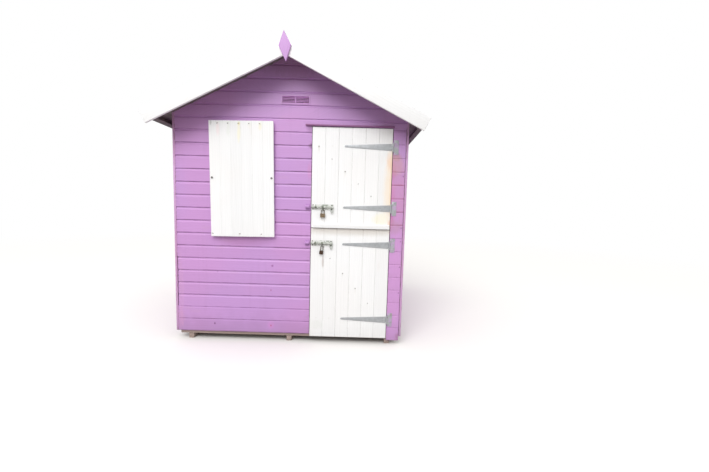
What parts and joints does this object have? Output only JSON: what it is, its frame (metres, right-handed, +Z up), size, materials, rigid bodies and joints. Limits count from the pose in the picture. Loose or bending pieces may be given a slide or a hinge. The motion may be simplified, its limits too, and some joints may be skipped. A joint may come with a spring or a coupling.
{
  "type": "beach hut",
  "caption": "Small timber beach hut with an apex roof, a two-leaf stable door on tee hinges with sliding bolts, and a boarded shutter over its window.",
  "frame": {"origin": "middle of the hut's whole length and width, on the ground under the bearers", "axes": "+Z up, the door front faces -Y, +X to the viewer's right as one faces the door"},
  "size_m": [2.3156, 2.81, 2.5856],
  "materials": {
    "mauve_cladding": "mauve gloss paint on shiplap boards, weathered",
    "white_paint": "white gloss paint on planed softwood",
    "pink_paint": "pink gloss paint",
    "roof_timber": "dark mauve paint on roof boards",
    "frame_timber": "bare sawn softwood",
    "floor_timber": "bare tongued and grooved boards, worn",
    "weathered_timber": "grey-brown treated timber",
    "roof_felt": "mineral roofing felt",
    "vent_plastic": "moulded plastic painted over with the wall's mauve",
    "galvanised_steel": "galvanised steel, dulled",
    "painted_steel": "steel painted over with the wall's mauve",
    "padlock_brass": "tarnished brass with a steel shackle",
    "dark_iron": "rusted dark bolt heads",
    "glass": "clear window glass"
  },
  "bodies": {
    "hut": {"floor_bearers": "weathered_timber", "floor_joists": "weathered_timber", "floor_boards": "floor_timber", "front_wall_left": "mauve_cladding", "front_wall_right": "mauve_cladding", "front_gable": "mauve_cladding", "left_wall": "mauve_cladding", "right_wall": "mauve_cladding", "back_wall": "mauve_cladding", "gable_wall_studs": "frame_timber", "gable_wall_rails": "frame_timber", "side_wall_studs": "frame_timber", "side_wall_plates": "frame_timber", "roof_boards": "roof_timber", "roof_felt": "roof_felt", "ridge_capping": "roof_felt", "ridge_beam": "frame_timber", "roof_rafters": "frame_timber", "eaves_battens": "roof_timber", "front_bargeboards": "white_paint", "back_bargeboards": "white_paint", "finials": "pink_paint", "corner_trims": "mauve_cladding", "gable_vent": "vent_plastic", "door_drip_strip": "mauve_cladding", "shutter_boards": "white_paint", "shutter_battens": "white_paint", "shutter_bolts": "dark_iron", "window_frame": "white_paint", "window_glass": "glass", "hinge_plates": "galvanised_steel", "bolt_keepers": "painted_steel"},
    "upper_leaf": {"upper_door_boards": "white_paint", "upper_door_ledges": "white_paint", "upper_door_brace": "white_paint", "upper_door_weather_bar": "white_paint", "upper_door_hinge_straps": "galvanised_steel", "upper_padbolt": "galvanised_steel", "upper_padlock": "padlock_brass"},
    "upper_bolt_bar": {"upper_bolt": "galvanised_steel"},
    "lower_leaf": {"lower_door_boards": "white_paint", "lower_door_ledges": "white_paint", "lower_door_brace": "white_paint", "lower_door_hinge_straps": "galvanised_steel", "lower_padbolt": "galvanised_steel", "lower_padlock": "padlock_brass"},
    "lower_bolt_bar": {"lower_bolt": "galvanised_steel"}
  },
  "joints": [
    {"name": "upper_door_hinge", "type": "hinge", "parent": "hut", "child": "upper_leaf", "pos_m": [0.8905, -1.1435, 0], "axis": [0, 0, 1], "range_deg": [0, 100]},
    {"name": "lower_door_hinge", "type": "hinge", "parent": "hut", "child": "lower_leaf", "pos_m": [0.8905, -1.1435, 0], "axis": [0, 0, 1], "range_deg": [0, 170]},
    {"name": "upper_bolt_slide", "type": "slide", "parent": "upper_leaf", "child": "upper_bolt_bar", "axis": [-1, 0, 0], "range_m": [0, 0.04]},
    {"name": "lower_bolt_slide", "type": "slide", "parent": "lower_leaf", "child": "lower_bolt_bar", "axis": [-1, 0, 0], "range_m": [0, 0.04]}
  ]
}
